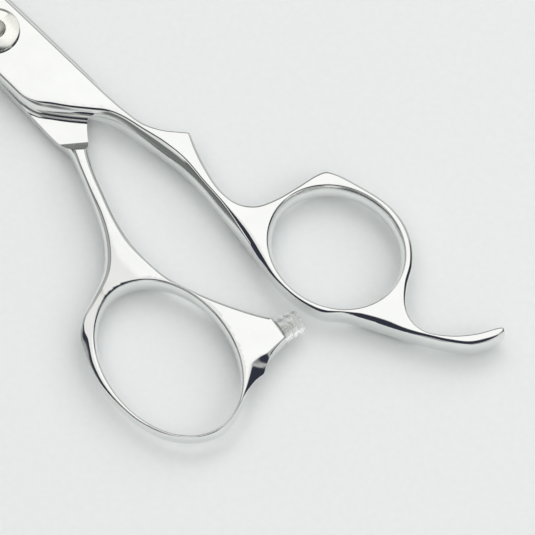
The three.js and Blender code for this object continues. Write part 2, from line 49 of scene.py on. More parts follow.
TIP_X = -72.4                        # blade tips, measured from the pivot
RICASSO_X = -8.0                     # where the ground blade ends and the flat round the pivot begins
FINGER_FLAT_BOTTOM = 3.25            # inner faces of the two blades
THUMB_FLAT_TOP = 3.15
FINGER_FLAT_TOP = 5.85               # outer faces of the two halves round the pivot
THUMB_FLAT_BOTTOM = 0.6
TIP_TOP = 4.5                        # the blades taper to these heights at their tips
TIP_BOTTOM = 1.9
HANDLE_TOP = 5.2
HANDLE_BOTTOM = 1.2
RING_TOP = 4.45                      # the thumb ring is thinner than its handle on the far side
RING_BOTTOM = 1.9
UNDER_EDGE = (0.3, 0.7)              # width and height of the bevel along the underside of the handles
TOP_EDGE = (0.35, 0.4)               # and along the inner face of the thumb half
FLAT_EDGE = (0.05, 0.05)             # rounding along the inner face of the finger half
LEAST_BEVEL = (0.2, 0.3)
CUT_LAND = 0.1                       # height left at the cutting edges
GROUND = (0.5, 1.5)                  # a bevel between these widths turns into a ground blade
TIP_RUN = 6                          # the bevels fade out over this length behind the blade tips
TIP_LEAST = 0.02

# Where the outer faces pass from one height to the next, along X, but THUMB_RING_DROP along -Y.
FINGER_NECK = (16, 42)
THUMB_NECK = (18, 34)
THUMB_RING_DROP = (12, 26)
THUMB_RING_LIFT = (48, 64)
THUMB_SHANK = (19, 23)               # where the broad bevel moves from the underside to the top

FINGER_HOLE = {"x": 67.07, "y": 14.35, "a": 11.0, "b": 9.65, "turn": 2.8, "flare": 0.55}
THUMB_HOLE = {"x": 62.8, "y": -18.1, "a": 14.0, "b": 9.85, "turn": -8.1, "flare": 0.3}
COVE = {"x": 23.5, "y": -3.35, "turn": -37.7, "run": 2.9}
SPINE_SLOPE = {"start": 5.5, "end": 9, "drop": 1.35, "from": -50, "to": 22}
SLOPE = (22.3, 26.5)                 # where the finger handle drops under the plane of the blades

HANDLE_STEP = 0.4                    # spacing of the stations along the handles and the blades
BLADE_STEP = 1.2
CAP_STEP = 0.55                      # spacing of the points inside the broad faces
EDGE_SEGMENTS = 9
SHOULDER_SEGMENTS = 5
SHOULDER_LEAST = 0.05
UNDER_SHOULDER = 0.3                 # shoulder of the underside's bevel, as a part of its width
BEVEL_BOW = 0.35                     # how a bevel bulges between the wall and its ridge, as parts of
BEVEL_LIFT = 0.4                     # its width and height
RIDGE_SLOPE = 0.38                   # slope of a bevel where it meets the shoulder
CREST_SLOPE = 0.15                   # slope where a broad shoulder, like a facet, meets the face
CREST_SHOULDER = (0.8, 1.6)          # a shoulder between these widths turns into such a facet
HOLE_EDGE = 0.35                     # radius of the rolled edge at each mouth of a ring hole
HOLE_ROLL = (30, 86)                 # where that edge starts, in line with the flared wall, and ends
ROLL_SEGMENTS = 6
THROAT = 2.4                         # the higher, the longer the straight part of a hole
FACE_LEAST = 0.07                    # least width of the face between a bevel and a hole
WALL_SEGMENTS = 6
WALL_CROWN = 0.07                    # how far the outer walls stand proud between the bevels
HOLE_SIDES = 168
HOLE_LEVELS = 14
COVE_STEPS = 28

# Bumper on the lug of the thumb ring.
BUMPER = {"r": 2.1, "length": 3.62, "bore": 0.95, "bore_depth": 2.5, "z": 3.35, "edge": 0.45,
          "bore_edge": 0.25, "mouth": 0.15, "foot": 0.2}
BUMPER_GROOVE = {"places": (1.25, 2.35), "depth": 0.14, "half": 0.27}
STEM = {"r": 0.8, "hidden": 2.2, "shown": 2.2, "pitch": 0.45, "thread": 0.14}
STEM_HOLE = {"r": 0.95, "depth": 2.5}
SEAT_GAP = 0.05

# Pivot, from the underside up.
SCREW_HEAD = {"r": 4.3, "foot": 3.5, "top": 0.55, "edge": 0.15}
SCREW_DIMPLE = [(0, 0.09), (0.32, 0.07), (0.5, 0)]         # in the underside of the head
SCREW_NECK = {"r": 2.7, "flats": 4.2, "top": 2.8}
SCREW_SHANK_R = 2.0
SCREW_TIP = {"r": 1.75, "flats": 2.9, "from": 5.55, "flats_to": 6.07, "top": 6.97, "edge": 0.22}
SCREW_CROWN = {"drop": 0.42, "edge_end": 62, "mark": 0.3, "mark_edge": 0.14, "steps": 8}
WASHER = {"r": 4.0, "seat": 0.27}
BUSH_R = 2.7
SPRING_SEAT = {"r": 3.6, "floor": 5.2}
DIAL = {"r": 4.2, "foot": 4.0, "base": 5.95, "waist": 6.08, "shoulder": 6.34, "edge": 0.12,
        "foot_edge": 0.08, "lip": 0.1}
DIAL_DOME = {"top": 6.56, "hub": 2.15, "steps": 24}
DIAL_CUP = {"r": 3.52, "top": 6.17}
DIAL_POCKET = {"inner": 2.35, "outer": 3.85, "floor": 6.25, "start": 101, "sweep": 50, "count": 2,
               "corner": 0.22}
POCKET_WALL = [(0, 0.94), (0.05, 0.975), (0.12, 1.0)]      # rise over the floor and size there
FIT = 0.06                           # clearance round keyed and seated pieces

# Shapes that cut reach well past the shears, or a little past the face that they meet.
THROUGH = (-1, 9)
TOOL_REACH = 130
TOOL_WIDTH = 160
OVERLAP = 0.15

# Rows are [x, y, bevel width, bevel height, shoulder], clockwise seen from above, in the same places
# as in the frame. The shoulder is how wide the bevel's ridge is rolled over.
FINGER_RUNS = [
    [  # cutting edge, flat by the pivot and neck, up to the point of the finger rest
        [TIP_X, -0.1, 0.25, 1, 0.16], [-70, 0.85, 0.9, 1.1, 0.16], [-60, 2.1, 2.7, 1.35, 0.16],
        [-45, 3.4, 4.2, 1.65, 0.16], [-30, 4.4, 5.4, 1.95, 0.16], [-16, 5.1, 6.2, 2.25, 0.16],
        [-10.5, 5.35, 3.2, 1.6, 0.16], [-7, 5.45, 0.5, 0.5, 0.16], [-3, 5.6, 0.5, 0.45, 0.2],
        [12, 5.75, 0.5, 0.45, 0.2], [22, 5.9, 0.5, 0.45, 0.2], [26, 6.2, 0.5, 0.45, 0.2],
        [29.4, 6.8, 0.5, 0.45, 0.2], [32.3, 8.15, 0.35, 0.4, 0.16], [34.4, 9.95, 0.35, 0.4, 0.16],
        [35.75, 11.15, 0.35, 0.4, 0.16],
    ],
    [  # finger rest, outside of the ring and upper side of the tang
        [35.75, 11.15, 0.35, 0.4, 0.16], [38.8, 9.95, 0.5, 0.45, 0.2], [42.4, 8.75, 0.5, 0.45, 0.2],
        [46.9, 7.85, 0.5, 0.45, 0.2], [50.5, 8.3, 0.5, 0.45, 0.2], [52.8, 10.05, 0.5, 0.45, 0.2],
        [54.1, 13.25, 0.5, 0.45, 0.2], [54.8, 17.1, 0.5, 0.45, 0.2], [55.35, 20.9, 0.5, 0.45, 0.2],
        [56, 22.55, 0.5, 0.45, 0.2], [57.55, 23.55, 0.5, 0.45, 0.2], [61.8, 24.85, 0.5, 0.45, 0.2],
        [65.7, 25.7, 0.5, 0.45, 0.2], [68.2, 25.85, 0.5, 0.45, 0.2], [71.5, 25.3, 0.5, 0.45, 0.2],
        [74.75, 23.8, 0.5, 0.45, 0.2], [77.5, 21.35, 0.5, 0.45, 0.2], [79.6, 18.15, 0.5, 0.45, 0.2],
        [82.05, 15.45, 0.35, 0.4, 0.16], [84.4, 14.35, 0.35, 0.4, 0.16], [87.1, 14.55, 0.35, 0.4, 0.16],
        [90.25, 16.75, 0.35, 0.4, 0.16], [92.85, 19.9, 0.35, 0.4, 0.16], [94.65, 23.4, 0.35, 0.4, 0.16],
    ],
    [  # end of the tang
        [94.65, 23.4, 0.35, 0.4, 0.16], [95.3, 24.1, 0.35, 0.5, 0.16], [96, 23.6, 0.35, 0.6, 0.16],
    ],
    [  # lower side of the tang, ring and handle, then the notch by the flat and the spine
        [96, 23.6, 0.35, 0.6, 0.26], [96.05, 22.2, 0.5, 0.9, 0.26], [95.4, 20.2, 0.6, 1, 0.5],
        [94, 17.9, 0.6, 1, 0.5], [91.5, 15.75, 0.6, 0.9, 0.5], [88.7, 13.9, 0.6, 0.9, 0.45],
        [85.6, 12.1, 0.5, 0.9, 0.7], [82.4, 10.45, 0.6, 0.9, 1], [79.6, 9, 0.6, 0.8, 0.9],
        [76.6, 7.2, 0.4, 0.7, 0.8], [74, 4.95, 0.25, 0.6, 0.7], [71.4, 3.92, 0.2, 0.5, 0.6],
        [68.4, 3.36, 0.2, 0.5, 0.6], [64.5, 3.35, 0.2, 0.5, 0.7], [60.2, 4, 0.4, 0.8, 1],
        [54.7, 4.8, 0.9, 1.1, 1], [49.2, 5.4, 1.1, 1.1, 0.3], [43.8, 5.9, 1, 1.1, 0.26],
        [38.9, 6, 1.35, 1.2, 0.26], [34.6, 5.5, 1.45, 1.2, 0.26], [30.5, 4.8, 1.2, 1.2, 0.26],
        [26.4, 4, 1, 1.3, 0.26], [24.2, 3, 1, 1.4, 0.26], [22.2, 1.3, 1, 1.45, 0.26],
        [19.65, -0.9, 1, 1.45, 0.26], [17, -2.95, 1.05, 1.45, 0.26], [15, -4.25, 0.8, 1.2, 0.16],
        [12.8, -4.85, 0.45, 0.8, 0.16], [9, -4.9, 0.35, 0.5, 0.16], [0, -4.85, 0.35, 0.5, 0.16],
        [-16, -4.65, 0.5, 0.7, 0.26], [-30, -4.15, 0.5, 0.7, 0.26], [-45, -3.3, 0.45, 0.6, 0.26],
        [-60, -2.2, 0.4, 0.5, 0.26], [-70, -0.95, 0.25, 0.4, 0.26], [TIP_X, -0.1, 0.25, 1, 0.26],
    ],
]
LUG_A = [69.1, -1.6]
LUG_B = [73.25, -2.3]
THUMB_RUNS = [
    [  # spine, up to the end of the flat round the pivot
        [TIP_X, 1.67, 0.25, 0.9, 0.16], [-70, 2.85, 0.25, 0.4, 0.16], [-60, 4.05, 0.4, 0.5, 0.16],
        [-45, 5.1, 0.45, 0.6, 0.16], [-30, 5.8, 0.5, 0.7, 0.16], [-16, 6.35, 0.5, 0.7, 0.16],
        [-4, 6.75, 0.5, 0.7, 0.16], [8, 6.85, 0.5, 0.7, 0.16], [17, 6.75, 0.5, 0.7, 0.16],
        [20.5, 6.3, 0.4, 0.5, 0.16],
    ],
    [  # end of the flat, hidden under the finger half, and the inner side of the shank
        [20.5, 6.3, 0.4, 0.5, 0.16], [20.9, 4.4, 0.4, 0.5, 0.16], [21, 2.2, 0.4, 0.5, 0.16],
        [22.1, 0.65, 0.4, 0.5, 0.16], [24.5, -1.35, 0.7, 0.8, 0.16], [27.2, -3.25, 0.75, 0.8, 0.16],
        [30.6, -5, 0.65, 0.7, 0.16], [34.4, -6.45, 0.6, 0.6, 0.16], [39.2, -8.1, 0.6, 0.6, 0.16],
        [43.7, -9.1, 0.6, 0.5, 0.16], [48.8, -9.35, 0.4, 0.4, 0.16], [52.9, -8.85, 0.5, 0.45, 0.2],
        [58.2, -7.1, 0.5, 0.45, 0.2], [62.2, -5.4, 0.5, 0.45, 0.2], [66.7, -3.1, 0.5, 0.45, 0.2],
        [*LUG_A, 0.5, 0.45, 0.2],
    ],
    [  # lug face that carries the bumper
        [*LUG_A, 0.3, 0.35, 0.1], [*LUG_B, 0.3, 0.35, 0.1],
    ],
    [  # far side of the ring, with the broad facet below the lug
        [*LUG_B, 0.3, 0.35, 0.26], [73.35, -3.9, 0.3, 0.6, 0.3], [73.6, -6.2, 0.3, 0.7, 0.8],
        [74.05, -8.6, 0.3, 0.9, 2.1], [74.75, -10.8, 0.25, 0.9, 3.4], [75.6, -12.8, 0.25, 0.9, 2.8],
        [76.6, -15.1, 0.3, 0.8, 1.6], [77.45, -17.7, 0.5, 0.9, 0.3], [77.65, -20.3, 0.5, 0.9, 0.3],
        [76.5, -23.2, 0.55, 0.9, 0.3], [74.3, -25.7, 0.6, 0.9, 0.35], [71.5, -27.6, 0.6, 0.9, 0.35],
        [67.9, -28.8, 0.3, 0.8, 0.6], [63.5, -29.25, 0.3, 0.8, 0.8], [59.5, -29, 0.3, 0.8, 0.7],
        [55.4, -27.95, 0.4, 0.9, 0.9], [52.1, -26.4, 0.4, 0.8, 1.4], [50.2, -25.3, 0.4, 0.9, 0.9],
        [48.9, -24.4, 0.6, 1, 0.3],
    ],
    [  # near side of the ring and shank, the flat and the cutting edge
        [48.9, -24.4, 0.6, 1, 0.3], [48, -23.2, 0.7, 1.1, 0.26], [46.8, -20.2, 0.9, 1.1, 0.26],
        [44.6, -15.6, 1, 1.1, 0.26], [41.4, -12.5, 0.9, 1, 0.26], [37, -9.95, 0.75, 0.9, 0.26],
        [32.3, -8, 0.5, 0.8, 0.26], [28.1, -6.4, 0.5, 0.8, 0.26], [24.9, -5.35, 0.7, 0.8, 0.26],
        [23, -5.2, 0.5, 0.5, 0.26], [20.5, -5.3, 0.4, 0.4, 0.26], [14, -5.1, 0.4, 0.4, 0.26],
        [6.4, -4.85, 0.4, 0.4, 0.26], [-4, -4.7, 0.4, 0.45, 0.26], [-7, -4.6, 0.4, 0.45, 0.26],
        [-10.5, -4.4, 3.2, 1.6, 0.26], [-16, -4, 6.2, 2.25, 0.26], [-30, -2.9, 5.2, 1.95, 0.26],
        [-45, -1.7, 4, 1.65, 0.26], [-60, -0.25, 2.5, 1.35, 0.26], [-70, 1.05, 0.9, 1.1, 0.26],
        [TIP_X, 1.67, 0.25, 0.9, 0.26],
    ],
]

# ---------------------------------------------------------------- curves and meshes


def mix(a, b, t):
    return a + (b - a) * t


def ramp(value, start, end):
    t = min(1.0, max(0.0, (value - start) / (end - start)))
    return t * t * (3 - 2 * t)


def curve_point(a, b, c, d, t):
    """A point of the centripetal Catmull-Rom curve between rows b and c."""
    def knot(p, q):
        return max(math.sqrt(math.hypot(*(q[:2] - p[:2]))), 1e-6)

    t1 = knot(a, b)
    t2 = t1 + knot(b, c)
    t3 = t2 + knot(c, d)
    at = mix(t1, t2, t)
    ab = mix(a, b, at / t1)
    bc = mix(b, c, (at - t1) / (t2 - t1))
    cd = mix(c, d, (at - t2) / (t3 - t2))
    return mix(mix(ab, bc, at / t2), mix(bc, cd, (at - t1) / (t3 - t1)), (at - t1) / (t2 - t1))


def stations_along(runs):
    """The closed row of stations along an outline, each like a row of its runs."""
    stations = []
    for run in runs:
        rows = [np.array(row, float) for row in run]
        rows = [2 * rows[0] - rows[1], *rows, 2 * rows[-1] - rows[-2]]
        for before, start, end, after in zip(rows, rows[1:], rows[2:], rows[3:]):
            step = BLADE_STEP if start[0] < RICASSO_X and end[0] < RICASSO_X else HANDLE_STEP
            count = max(1, round(math.hypot(*(end - start)[:2]) / step))
            stations += [curve_point(before, start, end, after, k / count) for k in range(count)]
    return np.array(stations)


def mitres(points):
    """Inward mitre at each point of a clockwise outline."""
    along = np.roll(points, -1, axis=0) - points
    along /= np.linalg.norm(along, axis=1)[:, None]
    inward = np.stack([along[:, 1], -along[:, 0]], axis=1)
    before = np.roll(inward, 1, axis=0)
    spread = np.maximum(0.5, 1 + (before * inward).sum(axis=1))
    return (before + inward) / spread[:, None]


def edge_profile(width, height, shoulder, crest=0.0):
    """Convex bevel from the wall (0, 0) in to a ridge, which a shoulder rolls over into the face
    above, as (inset, rise) pairs."""
    reach = width - shoulder / 2
    ridge = height - shoulder * (RIDGE_SLOPE + crest) / 2
    bow = BEVEL_BOW * reach
    lift = max(BEVEL_LIFT * ridge, ridge - RIDGE_SLOPE * (reach - bow))
    pairs = []
    for k in range(EDGE_SEGMENTS + 1):
        t = k / EDGE_SEGMENTS
        pull = 2 * t * (1 - t)
        pairs.append((bow * pull + reach * t * t, lift * pull + ridge * t * t))
    for k in range(1, SHOULDER_SEGMENTS + 1):
        t = k / SHOULDER_SEGMENTS
        climb = RIDGE_SLOPE * t - (RIDGE_SLOPE - crest) * t * t / 2
        pairs.append((reach + shoulder * t, ridge + shoulder * climb))
    return pairs


def side_profile(low, high, under, upper, shoulder, crest):
    """Side of a half at one station, from the underside to the top, as (inset, z) pairs."""
    foot, head = low + under[1], high - upper[1]
    rolled = edge_profile(*under, UNDER_SHOULDER * under[0])
    pairs = [(inset, foot - drop) for inset, drop in reversed(rolled)]
    for k in range(1, WALL_SEGMENTS):
        t = k / WALL_SEGMENTS
        pairs.append((-WALL_CROWN * 4 * t * (1 - t) * min(1, (head - foot) / 2), mix(foot, head, t)))
    return pairs + [(inset, head + rise) for inset, rise in edge_profile(*upper, shoulder, crest)]


def hole_loop(hole, flared):
    turn = math.radians(hole["turn"])
    angle = np.arange(HOLE_SIDES) * (2 * math.pi / HOLE_SIDES)
    along = (hole["a"] + flared * hole["flare"]) * np.cos(angle)
    across = (hole["b"] + flared * hole["flare"]) * np.sin(angle)
    x = hole["x"] + along * math.cos(turn) - across * math.sin(turn)
    y = hole["y"] + along * math.sin(turn) + across * math.cos(turn)
    return np.stack([x, y], axis=1)


def inside(points, loop):
    """Which points lie inside a closed loop."""
    x, y = points[:, 0], points[:, 1]
    crossings = np.zeros(len(points), int)
    for (ax, ay), (bx, by) in zip(loop, np.roll(loop, -1, axis=0)):
        spans = (ay > y) != (by > y)
        if ay != by:
            crossings += spans & (x < (bx - ax) * (y - ay) / (by - ay) + ax)
    return crossings % 2 == 1


def fill_points(outer, holes, step):
    """Points on a triangular grid that lie well inside a face."""
    low, high = outer.min(axis=0), outer.max(axis=0)
    rows = np.arange(low[1], high[1], step * math.sqrt(0.75))
    grid = np.array([
        (x + (step / 2 if i % 2 else 0), y)
        for i, y in enumerate(rows) for x in np.arange(low[0], high[0], step)
    ])
    grid = grid[inside(grid, outer)]
    for hole in holes:
        grid = grid[~inside(grid, hole)]
    edge = np.concatenate([outer, *holes])
    tree = kdtree.KDTree(len(edge))
    for i, (x, y) in enumerate(edge):
        tree.insert((x, y, 0), i)
    tree.balance()
    distance = np.array([tree.find((x, y, 0))[2] for x, y in grid])
    return grid[distance > 0.55 * step]


class Builder:
    """Collects vertices and faces of one closed mesh."""

    def __init__(self):
        self.vertices = []
        self.faces = []

    def loop(self, points):
        first = len(self.vertices)
        self.vertices += [tuple(p) for p in points]
        return list(range(first, first + len(points)))

    def skin(self, low, high):
        """Quads between two matched loops. Faces look away from the axis when loops go clockwise."""
        for i, (a, b) in enumerate(zip(low, high)):
            j = (i + 1) % len(low)
            self.faces.append((a, b, high[j], low[j]))

    def cap(self, outer, holes, height, up):
        """Fills the face between an outer loop and its holes."""
        flat = [np.array([self.vertices[i][:2] for i in loop]) for loop in (outer, *holes)]
        extra = fill_points(flat[0], flat[1:], CAP_STEP)
        added = self.loop([(x, y, height(x, y)) for x, y in extra])
        index = [i for loop in (outer, *holes) for i in loop] + added
        edges, first = [], 0
        for loop in (outer, *holes):
            count = len(loop)
            edges += [(first + i, first + (i + 1) % count) for i in range(count)]
            first += count
        points = [Vector(self.vertices[i][:2]) for i in index]
        _, _, faces, source, _, _ = geometry.delaunay_2d_cdt(points, edges, [], 0, 1e-7)
        faces = [[index[source[i][0]] for i in face] for face in faces]
        centres = np.array([np.mean([self.vertices[i][:2] for i in face], axis=0) for face in faces])
        keep = inside(centres, flat[0])
        for hole in flat[1:]:
            keep &= ~inside(centres, hole)
        self.faces += [tuple(face if up else reversed(face)) for face, kept in zip(faces, keep) if kept]

    def mesh(self, name, sharp=20.0):
        mesh = bpy.data.meshes.new(name)
        scaled = [(x * MM, y * MM, z * MM) for x, y, z in self.vertices]
        mesh.from_pydata(scaled, [], self.faces)
        mesh.validate()
        mesh.shade_smooth()
        mesh.set_sharp_from_angle(angle=math.radians(sharp))
        return mesh


def piece(name, mesh, material, body, slot, *nodes):
    thing = bpy.data.objects.new(name, mesh)
    bpy.context.scene.collection.objects.link(thing)
    mesh.materials.clear()
    mesh.materials.append(material)
    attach(thing, body)
    if nodes:
        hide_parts(*nodes)
    return thing


def carve(mesh, tool, keep_angle=20.0):
    """The mesh with a tool's mesh cut out of it. Both are used up."""
    name = mesh.name
    body = bpy.data.objects.new("carved", mesh)
    cutter = bpy.data.objects.new("cutter", tool)
    for thing in (body, cutter):
        bpy.context.scene.collection.objects.link(thing)
    cut = body.modifiers.new("cut", "BOOLEAN")
    cut.operation = "DIFFERENCE"
    cut.solver = "MANIFOLD"
    cut.object = cutter
    bpy.context.view_layer.update()
    shape = body.evaluated_get(bpy.context.evaluated_depsgraph_get())
    result = bpy.data.meshes.new_from_object(shape)
    for thing in (body, cutter):
        bpy.data.objects.remove(thing)
    bpy.data.meshes.remove(mesh)
    bpy.data.meshes.remove(tool)
    result.name = name
    result.shade_smooth()
    result.set_sharp_from_angle(angle=math.radians(keep_angle))
    return result


def turned(name, profile, sides=96, sharp=25.0, place=None):
    """A closed solid turned about Z from (radius, z) corners that start and end on the axis, or that
    close on themselves. The profile runs up the outside."""
    builder = Builder()
    loops = []
    for radius, z in profile:
        if radius == 0:
            loops.append(builder.loop([(0, 0, z)]))
            continue
        angle = -np.arange(sides) * (2 * math.pi / sides)
        loops.append(builder.loop(np.stack([radius * np.cos(angle), radius * np.sin(angle),
                                            np.full(sides, z)], axis=1)))
    closed = profile[0][0] != 0
    pairs = list(zip(loops, loops[1:])) + ([(loops[-1], loops[0])] if closed else [])
    for low, high in pairs:
        if len(low) == 1:
            builder.faces += [(low[0], high[i], high[(i + 1) % sides]) for i in range(sides)]
        elif len(high) == 1:
            builder.faces += [(high[0], low[(i + 1) % sides], low[i]) for i in range(sides)]
        else:
            builder.skin(low, high)
    if place:
        builder.vertices = [tuple(place(*v)) for v in builder.vertices]
    return builder.mesh(name, sharp)


# ---------------------------------------------------------------- the two halves


def finger_top(x, y):
    if x < RICASSO_X:
        return mix(FINGER_FLAT_TOP, TIP_TOP, (RICASSO_X - x) / (RICASSO_X - TIP_X))
    return mix(FINGER_FLAT_TOP, HANDLE_TOP, ramp(x, *FINGER_NECK))


def finger_bottom(x, y):
    return mix(FINGER_FLAT_BOTTOM, HANDLE_BOTTOM, ramp(x, *SLOPE))


def thumb_top(x, y):
    return mix(HANDLE_TOP, RING_TOP, ramp(-y, *THUMB_RING_DROP))


def thumb_bottom(x, y):
    if x < RICASSO_X:
        return mix(THUMB_FLAT_BOTTOM, TIP_BOTTOM, (RICASSO_X - x) / (RICASSO_X - TIP_X))
    handle = mix(THUMB_FLAT_BOTTOM, HANDLE_BOTTOM, ramp(x, *THUMB_NECK))
    return mix(handle, RING_BOTTOM, ramp(x, *THUMB_RING_LIFT))


def from_tip(x):
    """0 at the blade tips, or just over it, and 1 where the bevels have their full width."""
    return min(1.0, max(TIP_LEAST, (x - TIP_X) / TIP_RUN))


def bevel(row):
    return max(row[2], LEAST_BEVEL[0]), max(row[3], LEAST_BEVEL[1])


def cutting(row, thickness):
    """Bevel of a row, ground down to a thin land along the cutting edge of a blade."""
    width, height = bevel(row)
    if row[0] < RICASSO_X:
        height = mix(height, thickness - CUT_LAND, ramp(width, *GROUND))
        width *= from_tip(row[0])
    return width, height


def room_inward(mouth, point, inward, half_width=0.5, most=50.0):
    """How far a point of an outline can move inward before it meets the mouth of the hole."""
    ahead = inward / np.linalg.norm(inward)
    away = mouth - point
    along = away @ ahead
    across = np.abs(away[:, 0] * ahead[1] - away[:, 1] * ahead[0])
    return np.min(along[(along > 0) & (across < half_width)], initial=most)


def rolled_mouth():
    """The rolled edge at a mouth of a hole, as (outward, rise) pairs from the flared wall."""
    first, last = (math.radians(angle) for angle in HOLE_ROLL)
    pairs = []
    for k in range(ROLL_SEGMENTS + 1):
        angle = mix(first, last, k / ROLL_SEGMENTS)
        pairs.append((HOLE_EDGE * (math.cos(first) - math.cos(angle)),
                      HOLE_EDGE * (math.sin(angle) - math.sin(first))))
    return pairs


def hole_wall(builder, hole, top, bottom):
    """Loops of the wall of a ring hole, from the lower to the upper mouth."""
    rolled = rolled_mouth()
    rise = rolled[-1][1]
    levels = [(out, 1.0, 0.0, rise - up) for out, up in reversed(rolled[1:])]
    for k in range(HOLE_LEVELS + 1):
        t = k / HOLE_LEVELS
        levels.append((0.0, abs(2 * t - 1) ** THROAT, t, rise * (1 - 2 * t)))
    levels += [(out, 1.0, 1.0, up - rise) for out, up in rolled[1:]]
    loops = []
    for out, flared, t, lift in levels:
        xy = hole_loop(hole, flared + out / hole["flare"])
        z = [mix(bottom(x, y), top(x, y), t) + lift for x, y in xy]
        loops.append(builder.loop(np.column_stack([xy, z])))
    return loops


def forging(name, runs, hole, top, bottom, edges):
    """A half with its ring hole. edges(row, thickness) gives the bevels under and over its wall."""
    builder = Builder()
    stations = stations_along(runs)
    inward = mitres(stations[:, :2])
    mouth = hole_loop(hole, 1 + rolled_mouth()[-1][0] / hole["flare"])
    sides = []
    for row, step in zip(stations, inward):
        x, y = row[:2]
        low, high = bottom(x, y), top(x, y)
        under, upper = edges(row, high - low)
        room = room_inward(mouth, row[:2], step) - FACE_LEAST
        shoulder = max(SHOULDER_LEAST, min(row[4], room - upper[0]))
        crest = CREST_SLOPE * ramp(row[4], *CREST_SHOULDER)
        side = np.array(side_profile(low, high, under, upper, shoulder, crest))
        side[:, 0] *= min(1.0, room / side[:, 0].max())
        sides.append(side)
    sides = np.array(sides)
    loops = []
    for level in range(sides.shape[1]):
        xy = stations[:, :2] + inward * sides[:, level, :1]
        loops.append(builder.loop(np.column_stack([xy, sides[:, level, 1]])))
    for low, high in zip(loops, loops[1:]):
        builder.skin(low, high)
    hole_loops = hole_wall(builder, hole, top, bottom)
    for low, high in zip(hole_loops, hole_loops[1:]):
        builder.skin(low, high)
    builder.cap(loops[-1], [hole_loops[-1]], top, True)
    builder.cap(loops[0], [hole_loops[0]], bottom, False)
    return builder.mesh(name)


def rod(name, radius, low, high, sides=96):
    return turned(name, [(0, low), (radius, low), (radius, high), (0, high)], sides)


def block(name, low, high):
    """A box from its lowest to its highest corner, used to cut."""
    builder = Builder()
    ends = []
    for z in (low[2], high[2]):
        ends.append(builder.loop([(low[0], low[1], z), (low[0], high[1], z), (high[0], high[1], z),
                                  (high[0], low[1], z)]))
    builder.skin(*ends)
    builder.faces += [tuple(ends[0]), tuple(reversed(ends[1]))]
    return builder.mesh(name)


def flatten(mesh, radius, flats, low, high):
    """Cuts two flats across Y into the part of a round piece between two heights."""
    for side in (-1, 1):
        edge, beyond = sorted((side * flats / 2, side * 2 * radius))
        mesh = carve(mesh, block("flat", (-2 * radius, edge, low), (2 * radius, beyond, high)))
    return mesh


def keyed(name, radius, flats, low, high):
    """A rod with two flats along its whole length."""
    return flatten(rod(name, radius, low, high), radius, flats, low - 1, high + 1)


def cross_tool(name, profile, x, y, turn, width=TOOL_WIDTH):
    """A prism with a side profile of (along, z) corners, lying across the shank at (x, y)."""
    builder = Builder()
    c, s = math.cos(math.radians(turn)), math.sin(math.radians(turn))
    ends = []
    for across in (-width / 2, width / 2):
        ends.append(builder.loop([(x + along * c - across * s, y + along * s + across * c, z)
                                  for along, z in profile]))
    near, far = ends
    builder.skin(near, far)
    builder.faces.append(tuple(reversed(far)))
    builder.faces.append(tuple(near))
    return builder.mesh(name, 30.0)


def mix_edges(a, b, t):
    return mix(a[0], b[0], t), mix(a[1], b[1], t)


def finger_edges(row, thickness):
    under = mix_edges(FLAT_EDGE, UNDER_EDGE, ramp(row[0], *SLOPE))
    return under, cutting(row, thickness - FLAT_EDGE[1])


def thumb_edges(row, thickness):
    handle = ramp(row[0], *THUMB_SHANK)
    under = mix_edges(cutting(row, thickness), UNDER_EDGE, handle)
    width, height = mix_edges(TOP_EDGE, bevel(row), handle)
    return under, (width * from_tip(row[0]), height)


def finger_half():
    mesh = forging("finger_shear_fine", FINGER_RUNS, FINGER_HOLE, finger_top, finger_bottom,
                   finger_edges)
    below, above = THROUGH
    mesh = carve(mesh, rod("bore", BUSH_R + FIT, below, above))
    mesh = carve(mesh, rod("spring_seat", SPRING_SEAT["r"], SPRING_SEAT["floor"], above))
    seat = FINGER_FLAT_BOTTOM + WASHER["seat"]
    return carve(mesh, rod("counterbore", WASHER["r"] + FIT, below, seat))


def cove_tool():
    """Everything over the flat of the thumb half, up to the cove across its shank."""
    above = THROUGH[1]
    rise = HANDLE_TOP - THUMB_FLAT_TOP + OVERLAP
    profile = [(-TOOL_REACH, THUMB_FLAT_TOP)]
    for i in range(COVE_STEPS + 1):
        along = COVE["run"] * i / COVE_STEPS
        profile.append((along, THUMB_FLAT_TOP + rise * ramp(along, 0, COVE["run"])))
    profile += [(COVE["run"], above), (-TOOL_REACH, above)]
    return cross_tool("cove", profile, COVE["x"], COVE["y"], COVE["turn"])


def spine_tool():
    start, end, drop, left, right = (SPINE_SLOPE[key] for key in ("start", "end", "drop", "from", "to"))
    above = THROUGH[1]
    profile = [(start, THUMB_FLAT_TOP), (end, THUMB_FLAT_TOP - drop), (end, above), (start, above)]
    return cross_tool("spine", profile, (left + right) / 2, 0, 90, right - left)


def thumb_half():
    mesh = forging("thumb_shear_fine", THUMB_RUNS, THUMB_HOLE, thumb_top, thumb_bottom,
                   thumb_edges)
    mesh = carve(mesh, cove_tool())
    mesh = carve(mesh, spine_tool())
    mesh = carve(mesh, keyed("bore", SCREW_NECK["r"] + FIT, SCREW_NECK["flats"] + 2 * FIT, *THROUGH))
    seat = THUMB_FLAT_TOP - WASHER["seat"]
    mesh = carve(mesh, rod("counterbore", WASHER["r"] + FIT, seat, THROUGH[1]))
    r, depth = STEM_HOLE["r"], STEM_HOLE["depth"]
    hole = turned("stem_hole", [(0, -depth), (r, -depth), (r, depth), (0, depth)], 48, place=on_lug)
    return carve(mesh, hole)


# ---------------------------------------------------------------- bumper and pivot


